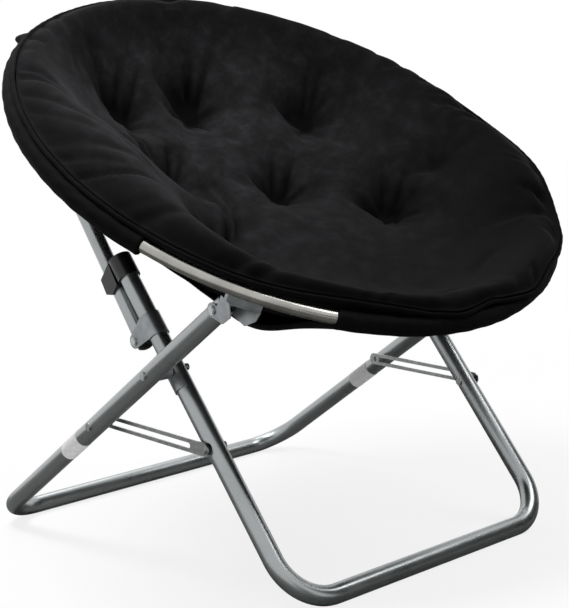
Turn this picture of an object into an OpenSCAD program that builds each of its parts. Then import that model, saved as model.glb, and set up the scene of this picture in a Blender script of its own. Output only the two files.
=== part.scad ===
// Folding saucer chair: two crossed U-shaped tube legs, a round hinged seat ring with
// a cloth hammock and a tufted cushion, two rear struts and two slotted stay links.
// Millimetres, +Z up. The chair faces -Y and is symmetric about X = 0, and the origin
// lies on the floor under the middle of its outline. Left is the sitter's left, at +X.

/* [Leg tubes] */
// Outer diameter of the leg tubes
leg_d = 25; // [22:0.5:28]
// Wall of the leg tubes
leg_wall = 1.2; // [1:0.1:2]
// Centre-line radius of the bend between a leg and its floor bar
bend_r = 62; // [45:1:80]

/* [Rear leg frame] */
// Angle of the rear frame above the floor
rear_angle = 32.87; // [30:0.1:36]
// Length of a rear leg from its floor bar to its top end
rear_leg = 667; // [664:1:672]
// Distance up the rear leg to the cross pivot
cross_on_rear = 478; // [465:1:490]
// Distance up the rear leg to the stay link's screw
link_on_rear = 322.5; // [312:0.5:332]
// Distance up the rear leg to the seat pivot
seat_on_rear = 652.9; // [650:0.1:655]

/* [Front leg frame] */
// Half the distance between the centre lines of the front frame's legs
front_half_w = 226; // [212:0.5:230]
// Room between a front leg and the rear leg outside it
frame_gap = 14.9; // [13:0.1:18]
// Length of a front leg from its floor bar to its top end
front_leg = 497; // [490:1:502]
// Distance up the front leg to the cross pivot
cross_on_front = 329.8; // [322:0.1:338]
// How far the cross pivot lies in front of the front leg's centre line
cross_offset = 3.9; // [0:0.1:5]
// Distance up the front leg to the stay link's rivet
link_on_front = 218.8; // [210:0.5:228]
// Distance up the front leg to the strut's pivot
strut_on_front = 395.7; // [390:0.1:402]
// How far the strut's pivot lies behind the front leg's centre line
strut_behind = 32; // [30:0.5:34]

/* [Rivets] */
// Radius of the rivet shanks
rivet_r = 3; // [2.5:0.1:3.5]
// Radius of the rivet heads
head_r = 5.5; // [5:0.1:7]
// Height of the rivet heads
head_h = 2.4; // [1.5:0.1:3]
// Share of a head's height below its chamfer
head_land = 0.6; // [0.4:0.05:0.8]
// How far the chamfer draws a head's top in
head_draw = 1.2; // [0.8:0.1:1.6]
// How much smaller the plain tail heads are
tail_less = 1; // [0.5:0.1:1.5]
// Radial clearance of a rivet in the piece that turns on it
running = 0.05; // [0.02:0.01:0.08]
// Gap between surfaces that pass each other
gap = 0.3; // [0.2:0.05:0.4]
// How far a hollowed seat reaches round the leg it lies on
seat_wrap = 1.6; // [1:0.1:2]

/* [Cross pivot] */
// Radius of the round spacer between the two frames
spacer_r = 10; // [8:0.5:12]
// Wall of the saddle that backs the spacer on the front leg
saddle_t = 1.6; // [1:0.1:2]
// Length of the saddle along the front leg
saddle_l = 56; // [40:1:70]
// Half of the angle that the saddle covers round the front leg
saddle_a = 68; // [50:1:75]

/* [Stay links] */
// Thickness of the link strip
link_t = 2; // [1.5:0.1:2.5]
// Width of the link
link_w = 17; // [15:0.5:19]
// Width of the link's slot
slot_w = 7; // [6.4:0.1:8]
// Distance from the link's rivet to the near end of its slot
slot_start = 30; // [24:1:38]
// Thickness of the black washer between the link and the front leg
washer_t = 3.4; // [3:0.1:4]
// Radius of that washer
washer_r = 7.5; // [7:0.1:9]

/* [Strut] */
// Outer diameter of the strut tubes
strut_d = 22; // [18:0.5:23]
// Wall of the strut tubes
strut_wall = 1.2; // [1:0.1:2]
// Length of strut past the lower pivot
strut_tail = 9; // [7:0.5:11]
// Length of strut past the upper pivot
strut_head = 10; // [8:0.5:12]
// Height of the plug's dome below the strut's end
plug_dome = 4; // [3:0.5:5]

/* [Strut clamp and leg cap] */
// Length of the clamp's band along the leg
clamp_l = 31; // [26:1:36]
// Sheet thickness of the clamp
clamp_t = 1.5; // [1.2:0.1:1.8]
// Radius of the clamp's ears round the strut pivot
ear_r = 9.5; // [9:0.5:12]
// Distance up the front leg to the cap's lower edge
cap_start = 470; // [466:1:474]
// Length of the cap
cap_l = 31; // [30:1:34]
// Wall of the cap
cap_wall = 2.7; // [2:0.1:2.8]

/* [Seat ring] */
// Radius of the seat ring's centre line
ring_r = 372.2; // [368:0.1:380]
// Outer diameter of the ring tube
ring_d = 16; // [14:0.5:18]
// Wall of the ring tube
ring_wall = 1.2; // [1:0.1:2]
// Tilt of the seat, back edge high
seat_tilt = 32.77; // [30:0.1:35]
// Distance from the ring's plane down to the front pivot
seat_drop = 42.7; // [40:0.1:45]
// Distance from the ring tube inwards to the front pivot
seat_inset = 28.2; // [26:0.1:30]
// Distance from the ring's plane down to the rear pivot
strut_drop = 65; // [62:0.5:68]
// Angle of ring between the front bracket and the joint in the tube
joint_lead = 3; // [2:0.5:5]

/* [Seat brackets] */
// Sheet thickness of the brackets
sheet_t = 1.5; // [1.2:0.1:1.8]
// Radius of the brackets' lugs round their pivots
lug_r = 9; // [8.5:0.1:10]

/* [Hammock] */
// Thickness of the sleeve cloth on the ring tube
sleeve_t = 2; // [1.5:0.1:2.5]
// Thickness of the hammock cloth
cloth_t = 2.5; // [2:0.1:3.5]
// Depth of the hammock below the sleeve
hammock_depth = 132; // [110:1:145]
// Exponent of the hammock's profile: higher is steeper at the ring
hammock_pow = 3; // [2.2:0.1:3.4]
// How far inside the ring's centre line the cloth stops behind the front brackets
front_cut_in = 52.2; // [48:0.1:58]
// How far inside the ring's centre line the cloth stops behind the rear brackets
rear_cut_in = 36.2; // [32:0.1:42]

/* [Cushion] */
// Distance from the ring's centre line in to the cushion's seam
cushion_inset = 4.7; // [3.5:0.1:8]
// Depth of the cushion's top below its seam
bowl_depth = 109; // [96:1:116]
// Exponent of the cushion's top profile
bowl_pow = 3; // [2.6:0.1:3.4]
// Height of the padded roll's crest over the ring's plane, at the front and back
crest_h = 22; // [16:1:26]
// How much higher the crest stands on the sitter's right, where the pad bulges most
crest_rise = 9; // [0:1:12]
// Where the crest lies at the front and back, as a share of the cushion's radius
crest_at = 0.935; // [0.92:0.005:0.94]
// How much further in the crest lies on the sitter's right
crest_in = 0.185; // [0.12:0.005:0.2]
// Share of that bulge on the sitter's left
left_share = 0.35; // [0:0.05:0.5]
// Depth of the sewn tufts
tuft_depth = 30; // [16:1:34]
// Radius over which a tuft draws the cushion in
tuft_reach = 46; // [36:1:56]
// Height of the crown between the tufts
crown_h = 6; // [2:0.5:9]
// Radius of the piping round the cushion's seam
piping_r = 3; // [2.5:0.1:3.5]

/* [Hidden] */
$fn = 64;

leg_r = leg_d / 2;
strut_r = strut_d / 2;
tube_r = ring_d / 2;
sleeve_r = tube_r + gap + sleeve_t;
// Half the distance between the centre lines of the rear frame's legs
rear_half_w = front_half_w + leg_d + frame_gap;

// Side view, first with the rear floor bar at y = 0
cross_y = -cross_on_rear * cos(rear_angle);
cross_z = leg_r + cross_on_rear * sin(rear_angle);
cross_reach = norm([cross_on_front, cross_offset]);
front_angle = asin((cross_z - leg_r) / cross_reach) - atan2(cross_offset, cross_on_front);
front_foot = cross_y - cross_on_front * cos(front_angle) + cross_offset * sin(front_angle);
seat_pivot_y = -seat_on_rear * cos(rear_angle);
seat_pivot_z = leg_r + seat_on_rear * sin(rear_angle);
// Where the ring tube crosses the planes of the rear and of the front legs
ring_at_rear_leg = sqrt(ring_r * ring_r - rear_half_w * rear_half_w);
ring_at_front_leg = sqrt(ring_r * ring_r - front_half_w * front_half_w);
seat_ahead = ring_at_rear_leg - seat_inset;
seat_y = seat_pivot_y + seat_ahead * cos(seat_tilt) - seat_drop * sin(seat_tilt);
seat_z = seat_pivot_z + seat_ahead * sin(seat_tilt) + seat_drop * cos(seat_tilt);
// The outline runs from the sleeve at the seat's front edge to the rear floor bar
seat_front = seat_y - ring_r * cos(seat_tilt) - sleeve_r;
shift_y = -(seat_front + leg_r) / 2;

// Pivots in the side view, in the chair's own frame
strut_low = [shift_y + front_foot + strut_on_front * cos(front_angle)
        + strut_behind * sin(front_angle),
    leg_r + strut_on_front * sin(front_angle) - strut_behind * cos(front_angle)];
strut_top = [shift_y + seat_y + ring_at_front_leg * cos(seat_tilt) + strut_drop * sin(seat_tilt),
    seat_z + ring_at_front_leg * sin(seat_tilt) - strut_drop * cos(seat_tilt)];
strut_run = strut_top - strut_low;
strut_l = norm(strut_run);
strut_angle = atan2(strut_run[1], strut_run[0]);
link_low = [shift_y + front_foot + link_on_front * cos(front_angle),
    leg_r + link_on_front * sin(front_angle)];
link_high = [shift_y - link_on_rear * cos(rear_angle), leg_r + link_on_rear * sin(rear_angle)];
link_run = link_high - link_low;
link_l = norm(link_run);
link_angle = atan2(link_run[1], link_run[0]);

// Places across the chair
rear_inner = rear_half_w - leg_r;
rear_outer = rear_half_w + leg_r;
front_outer = front_half_w + leg_r;
saddle_outer = front_outer + gap + saddle_t;
link_x = front_outer + gap + washer_t + gap;
clamp_in = leg_r + gap;
clamp_out = clamp_in + clamp_t;
front_lug_x = leg_r + gap;
rear_lug_x = strut_r + 2 * gap;
cap_r = leg_r + cap_wall;
// Room for the strut's own width where it lies in the cap's cradle
cradle_w = strut_r + gap;
cap_mid = cap_start + cap_l / 2;
lean = strut_angle - front_angle;
strut_at_cap = strut_behind - (cap_mid - strut_on_front) * tan(lean);

// Angles round the seat ring, from +X towards the back
front_bracket_a = atan2(ring_at_rear_leg, rear_half_w);
rear_bracket_a = atan2(ring_at_front_leg, front_half_w);
joint_a = front_bracket_a + joint_lead;
// Sleeves of the hammock, as [first angle, last angle]
bare_side = 20;
bare_front = 16;
bare_rear = 8;
bare_extra = 4;
sleeves = [
    [-front_bracket_a + bare_side, rear_bracket_a - bare_rear],
    [rear_bracket_a + bare_rear, 180 - rear_bracket_a - bare_rear],
    [180 - rear_bracket_a + bare_rear, 180 + front_bracket_a - bare_side],
    [180 + front_bracket_a + bare_front, 360 - front_bracket_a - bare_front]];

// The piping lies in the groove between the sleeves and the cushion's seam
cushion_r = ring_r - cushion_inset;
piping_at = cushion_r + piping_r + gap;
seam_h = sqrt(pow(sleeve_r + piping_r + gap, 2) - pow(ring_r - piping_at, 2));

// Profile of the hammock's underside and of the cushion's two faces, below the ring's plane
hammock_rim = ring_r - tube_r;
front_cut = ring_r - front_cut_in;
rear_cut = ring_r - rear_cut_in;
function share(r, rim, power) = 1 - pow(min(r / rim, 1), power);
function hammock_at(r) = -tube_r - hammock_depth * share(r, hammock_rim, hammock_pow);
// Sewn tufts on the cushion, [x, towards the back], and how deep each is
tufts = [[40, 26, 1], [6, 222, 1], [183, 160, 1], [170, -72, 1], [-138, -78, 1],
    [-140, 40, 1], [-150, 198, 1], [256, -45, 0.5]];
function tuft_pull(x, y) = max([for (t = tufts) t[2]
    * exp(-pow(norm([x - t[0], y - t[1]]) / tuft_reach, 2))]);
// Bowl with its crown, without the roll
crown_pow = 8;
function bowl_at(u) = seam_h - bowl_depth * (1 - pow(u, bowl_pow)) + crown_h * (1 - pow(u, crown_pow));
// How far the roll bulges at an angle: 1 on the sitter's right, 0 at the front and back
bulge_pow = 6;
function bulge(a) = pow(cos(a), bulge_pow) * (cos(a) < 0 ? 1 : left_share);
// The roll is half a sine wave over a power of the radius, with its crest at the share asked for
function roll_at(a, u) = let (
        at = crest_at - crest_in * bulge(a),
        power = ln(0.5) / ln(at))
    (crest_h + crest_rise * bulge(a) - bowl_at(at)) * sin(180 * pow(u, power));
function cushion_top(x, y) = let (u = min(norm([x, y]) / cushion_r, 1))
    bowl_at(u) + roll_at(atan2(y, x), u) - (tuft_depth + crown_h) * tuft_pull(x, y);
// Drawn-in side: the underside leaves the hammock, clears the brackets and rises to the seam
cushion_gap = 0.8;
side_h = -12;
side_w = 18;
side_at = front_cut + side_w;
// The underside's edge stays this far below the seam, and rises to it along this power
seam_lip = 2;
side_pow = 1.5;
function cushion_under(r) = let (
        low = hammock_at(min(r, front_cut)) + cloth_t + cushion_gap,
        k = min(max(0, (r - front_cut) / (side_at - front_cut)), 1),
        u = max(0, (r - side_at) / (cushion_r - side_at)))
    low + (side_h - low) * k + (seam_h - seam_lip - side_h) * pow(u, side_pow);
cushion_rings = 13;
cushion_sides = 48;
hammock_steps = 14;

module both() {
    children();
    mirror([1, 0, 0]) children();
}

module on_rear() {
    translate([0, shift_y, leg_r]) rotate([180 - rear_angle, 0, 0]) children();
}

module on_front() {
    translate([0, shift_y + front_foot, leg_r]) rotate([front_angle, 0, 0]) children();
}

module on_seat() {
    translate([0, shift_y + seat_y, seat_z]) rotate([seat_tilt, 0, 0]) children();
}

module on_strut() {
    translate([0, strut_low[0], strut_low[1]]) rotate([strut_angle, 0, 0]) children();
}

module on_link() {
    translate([0, link_low[0], link_low[1]]) rotate([link_angle, 0, 0]) children();
}

// A cylinder along X from x0 to x1 at [along, off] in the local side view
module pin(x0, x1, along, off, r) {
    translate([x0, along, off]) rotate([0, 90, 0]) cylinder(h = x1 - x0, r = r);
}

// A rivet along X with a low domed head past x1 and a plain tail head before x0
module rivet(x0, x1, along, off) {
    pin(x0 - head_h, x1, along, off, rivet_r);
    pin(x1, x1 + head_h * head_land, along, off, head_r);
    pin(x1 + head_h * head_land, x1 + head_h, along, off, head_r - head_draw);
    pin(x0 - head_h, x0, along, off, head_r - tail_less);
}

// A side-view outline given thickness t along X from x0
module plate_x(x0, t) {
    translate([x0, 0, 0]) rotate([90, 0, 90]) linear_extrude(t) children();
}

// A U of round bar: floor bar at Y = 0, legs rising along +Y
module u_bar(half_w, leg, r) {
    both() {
        translate([half_w, bend_r, 0]) rotate([-90, 0, 0]) cylinder(h = leg - bend_r, r = r);
        translate([half_w - bend_r, bend_r, 0]) rotate([0, 0, -90])
            rotate_extrude(angle = 90) translate([bend_r, 0]) circle(r = r);
    }
    translate([-half_w + bend_r, 0, 0]) rotate([0, 90, 0])
        cylinder(h = 2 * (half_w - bend_r), r = r);
}

module u_tube(half_w, leg) {
    difference() {
        u_bar(half_w, leg, leg_r);
        u_bar(half_w, leg + 1, leg_r - leg_wall);
        children();
    }
}

module rear_frame() {
    color([0.62, 0.64, 0.66]) on_rear() u_tube(rear_half_w, rear_leg) both() {
        pin(rear_inner - 1, rear_outer + 1, cross_on_rear, 0, rivet_r + running);
        pin(rear_inner - 1, rear_outer + 1, link_on_rear, 0, rivet_r + running);
        pin(rear_inner - 1, rear_outer + 1, seat_on_rear, 0, rivet_r + running);
    }
}

module cross_rivets() {
    color([0.75, 0.76, 0.78]) on_rear() both()
        rivet(front_half_w - leg_r - gap, rear_outer, cross_on_rear, 0);
}

module cross_spacers() {
    color([0.5, 0.51, 0.53]) on_rear() both() difference() {
        pin(saddle_outer + gap, rear_inner + seat_wrap, cross_on_rear, 0, spacer_r);
        pin(front_half_w, rear_outer, cross_on_rear, 0, rivet_r + running);
        translate([rear_half_w, cross_on_rear - spacer_r - 1, 0]) rotate([-90, 0, 0])
            cylinder(h = 2 * spacer_r + 2, r = leg_r + gap / 2);
    }
}

// The inner end stops short of the link, which slides past it
module link_screws() {
    color([0.75, 0.76, 0.78]) on_rear() both() {
        pin(link_x + link_t + gap, rear_outer, link_on_rear, 0, rivet_r);
        pin(rear_outer, rear_outer + head_h * head_land, link_on_rear, 0, head_r);
        pin(rear_outer + head_h * head_land, rear_outer + head_h, link_on_rear, 0, head_r - head_draw);
        difference() {
            pin(link_x + link_t + gap, rear_inner + seat_wrap, link_on_rear, 0, head_r);
            translate([rear_half_w, link_on_rear - head_r - 1, 0]) rotate([-90, 0, 0])
                cylinder(h = 2 * head_r + 2, r = leg_r + gap / 2);
        }
    }
}

module seat_rivets() {
    lug = leg_r + gap + sheet_t;
    color([0.75, 0.76, 0.78]) on_rear() both()
        rivet(rear_half_w - lug - gap, rear_half_w + lug + gap, seat_on_rear, 0);
}

module front_frame() {
    x0 = front_half_w - leg_r - 1;
    color([0.62, 0.64, 0.66]) on_front() u_tube(front_half_w, front_leg) both() {
        pin(x0, front_outer + 1, cross_on_front, cross_offset, rivet_r + running);
        pin(x0, front_outer + 1, link_on_front, 0, rivet_r + running);
    }
}

// A half shell on the outer side of the front leg
module pivot_saddles() {
    y0 = cross_on_front - saddle_l / 2;
    color([0.55, 0.56, 0.58]) on_front() both() difference() {
        translate([front_half_w, y0, 0]) rotate([-90, 0, 0]) rotate([0, 0, -saddle_a])
            rotate_extrude(angle = 2 * saddle_a)
                translate([leg_r + gap, 0]) square([saddle_t, saddle_l]);
        pin(front_half_w, rear_outer, cross_on_front, cross_offset, rivet_r + running);
    }
}

module link_rivets() {
    x0 = front_half_w - leg_r;
    x1 = link_x + link_t + gap;
    color([0.75, 0.76, 0.78]) on_front() both() {
        pin(x0 - head_h, x1, link_on_front, 0, rivet_r);
        pin(x1, x1 + head_h, link_on_front, 0, head_r);
        pin(x0 - head_h, x0, link_on_front, 0, head_r - tail_less);
    }
}

module link_washers() {
    color([0.08, 0.08, 0.08]) on_front() both() difference() {
        pin(front_outer - seat_wrap, link_x - gap, link_on_front, 0, washer_r);
        pin(front_half_w, link_x + 1, link_on_front, 0, rivet_r + running);
        translate([front_half_w, link_on_front - washer_r - 1, 0]) rotate([-90, 0, 0])
            cylinder(h = 2 * washer_r + 2, r = leg_r + gap / 2);
    }
}

// A sheet band round the leg whose two ends run back as ears to the strut's pivot
module strut_clamps() {
    y0 = strut_on_front - clamp_l / 2;
    color([0.6, 0.62, 0.64]) on_front() both() difference() {
        union() {
            translate([front_half_w, y0, 0]) rotate([-90, 0, 0]) cylinder(h = clamp_l, r = clamp_out);
            for (x0 = [front_half_w - clamp_out, front_half_w + clamp_in])
                plate_x(x0, clamp_t) {
                    translate([strut_on_front, -strut_behind]) circle(r = ear_r);
                    polygon([[y0, 0], [y0 + clamp_l, 0],
                        [strut_on_front + ear_r, -strut_behind],
                        [strut_on_front - ear_r, -strut_behind]]);
                }
        }
        translate([front_half_w, y0 - 1, 0]) rotate([-90, 0, 0])
            cylinder(h = clamp_l + 2, r = clamp_in);
        translate([front_half_w - clamp_in, y0 - 1, -strut_behind])
            cube([2 * clamp_in, clamp_l + 2, strut_behind]);
        pin(front_half_w - 20, front_half_w + 20, strut_on_front, -strut_behind,
            rivet_r + running);
    }
}

module strut_rivets() {
    color([0.75, 0.76, 0.78]) on_front() both()
        rivet(front_half_w - clamp_out, front_half_w + clamp_out, strut_on_front, -strut_behind);
}

// Cap on the leg's top with a cradle behind it, open to the rear, that the strut lies in
module leg_cap() {
    wall = 2.4;
    half = cradle_w + wall;
    back = strut_at_cap + strut_r;
    slot_l = front_leg - strut_on_front;
    color([0.06, 0.06, 0.065]) on_front() difference() {
        union() {
            translate([front_half_w, cap_start, 0]) rotate([-90, 0, 0])
                cylinder(h = cap_l, r = cap_r);
            plate_x(front_half_w - half, 2 * half)
                polygon([[cap_start, -cap_r + 3], [cap_start + cap_l, -cap_r + 6],
                    [cap_start + cap_l - 6, -back], [cap_start + 4, -back - 3],
                    [cap_start - 4, -back + 8]]);
        }
        translate([front_half_w, cap_start - slot_l, 0]) rotate([-90, 0, 0])
            cylinder(h = front_leg + gap - cap_start + slot_l, r = leg_r + gap / 3);
        // Slot for the strut, along its own direction
        translate([front_half_w, strut_on_front, -strut_behind]) rotate([lean, 0, 0])
            rotate([-90, 0, 0]) linear_extrude(2 * slot_l) {
                circle(r = cradle_w);
                translate([-cradle_w, 0]) square([2 * cradle_w, 4 * cradle_w]);
            }
    }
}

module left_leg_cap() leg_cap();

module right_leg_cap() mirror([1, 0, 0]) leg_cap();

// Flat strip with a closed slot, pinned on the front leg at [0, 0] of its own frame
module link() {
    slot_end = link_l + rivet_r + 0.5 - slot_w / 2;
    color([0.64, 0.65, 0.64]) on_link() plate_x(link_x, link_t) difference() {
        union() {
            circle(r = link_w / 2);
            translate([0, -link_w / 2]) square([slot_end + 3, link_w]);
            translate([slot_end + 3, 0]) circle(r = link_w / 2);
        }
        circle(r = rivet_r + running);
        translate([slot_start, 0]) circle(r = slot_w / 2);
        translate([slot_start, -slot_w / 2]) square([slot_end - slot_start, slot_w]);
        translate([slot_end, 0]) circle(r = slot_w / 2);
    }
}

module left_link() link();

module right_link() mirror([1, 0, 0]) link();

module strut() {
    color([0.66, 0.68, 0.7]) on_strut() difference() {
        translate([front_half_w, -strut_tail, 0]) rotate([-90, 0, 0])
            cylinder(h = strut_l + strut_tail + strut_head, r = strut_r);
        translate([front_half_w, -strut_tail - 1, 0]) rotate([-90, 0, 0])
            cylinder(h = strut_l + strut_tail + strut_head + 2, r = strut_r - strut_wall);
        pin(front_half_w - 20, front_half_w + 20, 0, 0, rivet_r + running);
    }
}

module left_strut() strut();

module right_strut() mirror([1, 0, 0]) strut();

// Domed black plug: a spigot in the tube's lower end and a head as wide as the tube
module strut_plug() {
    spigot = strut_tail - rivet_r - 1;
    ball = (strut_r * strut_r + plug_dome * plug_dome) / (2 * plug_dome);
    color([0.06, 0.06, 0.065]) on_strut() translate([front_half_w, -strut_tail, 0])
        rotate([90, 0, 0]) {
            rotate_extrude() difference() {
                union() {
                    translate([0, -spigot]) square([strut_r - strut_wall - gap / 3, spigot]);
                    intersection() {
                        square([strut_r, plug_dome]);
                        translate([0, plug_dome - ball]) circle(r = ball);
                    }
                }
                translate([-2 * ball, -2 * ball]) square([2 * ball, 4 * ball]);
            }
        }
}

module left_strut_plug() strut_plug();

module right_strut_plug() mirror([1, 0, 0]) strut_plug();

// A stretch of torus round the seat between angles a0 and a1
module arc(a0, a1, r_in, r_out) {
    rotate([0, 0, a0]) rotate_extrude(angle = a1 - a0) translate([ring_r, 0]) difference() {
        circle(r = r_out);
        circle(r = r_in);
    }
}

module seat_ring_front() {
    a0 = 180 + joint_a;
    a1 = 360 - joint_a;
    color([0.64, 0.65, 0.66]) on_seat() arc(a0, a1, tube_r - ring_wall, tube_r);
}

// The rear arc's ends are swaged down and run a little way into the front arc
module seat_ring_rear() {
    spigot = 3;
    step = 0.4;
    outer = tube_r - gap / 3;
    bore = tube_r - 2 * ring_wall - gap / 3;
    color([0.64, 0.65, 0.66]) on_seat() {
        arc(-joint_a, 180 + joint_a, outer - ring_wall, outer);
        for (a = [[-joint_a - spigot, -joint_a + step], [180 + joint_a - step, 180 + joint_a + spigot]])
            arc(a[0], a[1], bore, bore + ring_wall);
        for (a = [-joint_a, 180 + joint_a - step]) arc(a, a + step, bore, outer);
    }
}

// Channel of sheet: two cheeks astride the leg's end, a web above them and a flange that
// follows the ring tube, to which it is welded
module front_bracket() {
    pivot = [-seat_ahead, -seat_drop];
    x_in = rear_half_w - front_lug_x - sheet_t;
    x_out = rear_half_w + front_lug_x;
    tube_out = sqrt(ring_r * ring_r - pow(x_out + sheet_t, 2));
    tube_in = sqrt(ring_r * ring_r - x_in * x_in);
    rise = 24;
    web = -seat_drop + rise;
    color([0.66, 0.67, 0.69]) on_seat() difference() {
        union() {
            plate_x(x_out, sheet_t) {
                translate(pivot) circle(r = lug_r);
                polygon([pivot + [-4, 4], pivot + [-5, rise + sheet_t], [-tube_out - 8, web + sheet_t],
                    [-tube_out - 17, pivot[1] + 12], pivot + [-22, -3], pivot + [-6, -7]]);
            }
            plate_x(x_in, sheet_t) {
                translate(pivot) circle(r = lug_r);
                polygon([pivot + [-4, 4], pivot + [-5, rise + sheet_t], [-tube_in - 3, web + sheet_t],
                    [-tube_in - 1, pivot[1] + 12], [-tube_in + 12, pivot[1] - 5],
                    pivot + [-6, -7]]);
            }
            translate([0, 0, web]) linear_extrude(sheet_t)
                polygon([[x_in, pivot[0] - 5], [x_out + sheet_t, pivot[0] - 5],
                    [x_out + sheet_t, -tube_out - 8], [x_in, -tube_in - 3]]);
            intersection() {
                rotate([0, 0, -90]) rotate_extrude(angle = 90) difference() {
                    translate([ring_r - sheet_t, web]) square([2 * sheet_t, -web - tube_r * 0.8]);
                    translate([ring_r, 0]) circle(r = tube_r);
                }
                translate([x_in, -ring_r, web]) cube([x_out + sheet_t - x_in, ring_r, -web]);
            }
        }
        pin(x_in - 1, x_out + sheet_t + 1, pivot[0], pivot[1], rivet_r + running);
    }
}

module left_front_bracket() front_bracket();

module right_front_bracket() mirror([1, 0, 0]) front_bracket();

// Two cheeks hang from a short saddle under the ring tube, astride the strut's top end
module rear_bracket() {
    y = ring_at_front_leg;
    x_in = front_half_w - rear_lug_x - sheet_t;
    x_out = front_half_w + rear_lug_x;
    web = -tube_r - 2 * sheet_t;
    half_l = 18;
    color([0.66, 0.67, 0.69]) on_seat() difference() {
        union() {
            for (x0 = [x_in, x_out])
                plate_x(x0, sheet_t) {
                    translate([y, -strut_drop]) circle(r = lug_r);
                    polygon([[y - lug_r, -strut_drop], [y + lug_r, -strut_drop],
                        [y + half_l, web], [y + half_l, web + sheet_t],
                        [y - half_l, web + sheet_t], [y - half_l, web]]);
                }
            translate([x_in, y - half_l, web]) cube([x_out + sheet_t - x_in, 2 * half_l, sheet_t]);
            intersection() {
                rotate_extrude(angle = 90) difference() {
                    translate([ring_r - tube_r / 2, web]) square([tube_r, sheet_t + tube_r / 2]);
                    translate([ring_r, 0]) circle(r = tube_r);
                }
                translate([x_in, y - half_l, web]) cube([x_out + sheet_t - x_in, 2 * half_l, tube_r]);
            }
        }
        pin(x_in - 1, x_out + sheet_t + 1, y, -strut_drop, rivet_r + running);
    }
}

module left_rear_bracket() rear_bracket();

module right_rear_bracket() mirror([1, 0, 0]) rear_bracket();

// Stub rivets in the cheeks only: the strut's top end hangs free between them
module rear_bracket_rivets() {
    y = ring_at_front_leg;
    x_in = front_half_w - rear_lug_x;
    x_out = front_half_w + rear_lug_x;
    color([0.75, 0.76, 0.78]) on_seat() both() {
        pin(x_out, x_out + sheet_t, y, -strut_drop, rivet_r);
        pin(x_out + sheet_t, x_out + sheet_t + head_h, y, -strut_drop, head_r);
        pin(x_in - sheet_t, x_in, y, -strut_drop, rivet_r);
        pin(x_in - sheet_t - head_h, x_in - sheet_t, y, -strut_drop, head_r);
    }
}

// Cloth bowl hung from sleeves round the ring, cut away behind each bracket
module hammock() {
    lower = [for (i = [0 : hammock_steps]) let (r = hammock_rim * i / hammock_steps)
        [r, hammock_at(r)]];
    upper = [for (i = [hammock_steps : -1 : 0]) let (r = hammock_rim * i / hammock_steps)
        [r, hammock_at(r) + cloth_t]];
    color([0.04, 0.04, 0.045]) on_seat() {
        for (s = sleeves) arc(s[0], s[1], tube_r + gap, sleeve_r);
        difference() {
            rotate_extrude() difference() {
                polygon(concat(lower, upper));
                translate([ring_r, 0]) circle(r = sleeve_r - sleeve_t / 2);
            }
            for (a = [-front_bracket_a, 180 + front_bracket_a]) rotate([0, 0, a])
                translate([front_cut, -ring_r * sin(bare_front + bare_extra), -hammock_depth])
                    cube([ring_r, 2 * ring_r * sin(bare_front + bare_extra), 2 * hammock_depth]);
            for (a = [rear_bracket_a, 180 - rear_bracket_a]) rotate([0, 0, a])
                translate([rear_cut, -ring_r * sin(bare_rear), -hammock_depth])
                    cube([ring_r, 2 * ring_r * sin(bare_rear), 2 * hammock_depth]);
        }
    }
}

// Crowned, tufted pad: rings of points on its top and underside that meet at the seam
module cushion() {
    n = cushion_sides;
    m = cushion_rings;
    function radius(i) = cushion_r * sin(90 * i / m);
    top = [for (i = [1 : m], j = [0 : n - 1]) let (r = radius(i), a = 360 * j / n,
        x = r * cos(a), y = r * sin(a)) [x, y, cushion_top(x, y)]];
    low = [for (i = [1 : m], j = [0 : n - 1]) let (r = radius(i), a = 360 * j / n)
        [r * cos(a), r * sin(a), cushion_under(r)]];
    mid_top = 2 * m * n;
    points = concat(top, low, [[0, 0, cushion_top(0, 0)], [0, 0, cushion_under(0)]]);
    faces = concat(
        [for (j = [0 : n - 1]) [mid_top, (j + 1) % n, j]],
        [for (j = [0 : n - 1]) [mid_top + 1, m * n + j, m * n + (j + 1) % n]],
        [for (i = [0 : m - 2], j = [0 : n - 1]) let (k = (j + 1) % n)
            [i * n + j, i * n + k, (i + 1) * n + k]],
        [for (i = [0 : m - 2], j = [0 : n - 1]) let (k = (j + 1) % n)
            [i * n + j, (i + 1) * n + k, (i + 1) * n + j]],
        [for (i = [0 : m - 2], j = [0 : n - 1]) let (k = (j + 1) % n, b = m * n)
            [b + i * n + j, b + (i + 1) * n + k, b + i * n + k]],
        [for (i = [0 : m - 2], j = [0 : n - 1]) let (k = (j + 1) % n, b = m * n)
            [b + i * n + j, b + (i + 1) * n + j, b + (i + 1) * n + k]],
        [for (j = [0 : n - 1]) let (k = (j + 1) % n, a = (m - 1) * n, b = (2 * m - 1) * n)
            [a + j, a + k, b + k]],
        [for (j = [0 : n - 1]) let (k = (j + 1) % n, a = (m - 1) * n, b = (2 * m - 1) * n)
            [a + j, b + k, b + j]]);
    color([0.05, 0.05, 0.055]) on_seat() polyhedron(points, faces);
}

module rim_piping() {
    color([0.03, 0.03, 0.035]) on_seat() rotate_extrude()
        translate([piping_at, seam_h]) circle(r = piping_r);
}

rear_frame();
cross_rivets();
cross_spacers();
link_screws();
seat_rivets();
front_frame();
pivot_saddles();
link_rivets();
link_washers();
strut_clamps();
strut_rivets();
left_leg_cap();
right_leg_cap();
left_link();
right_link();
left_strut();
right_strut();
left_strut_plug();
right_strut_plug();
seat_ring_front();
seat_ring_rear();
left_front_bracket();
right_front_bracket();
left_rear_bracket();
right_rear_bracket();
rear_bracket_rivets();
hammock();
cushion();
rim_piping();
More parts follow.
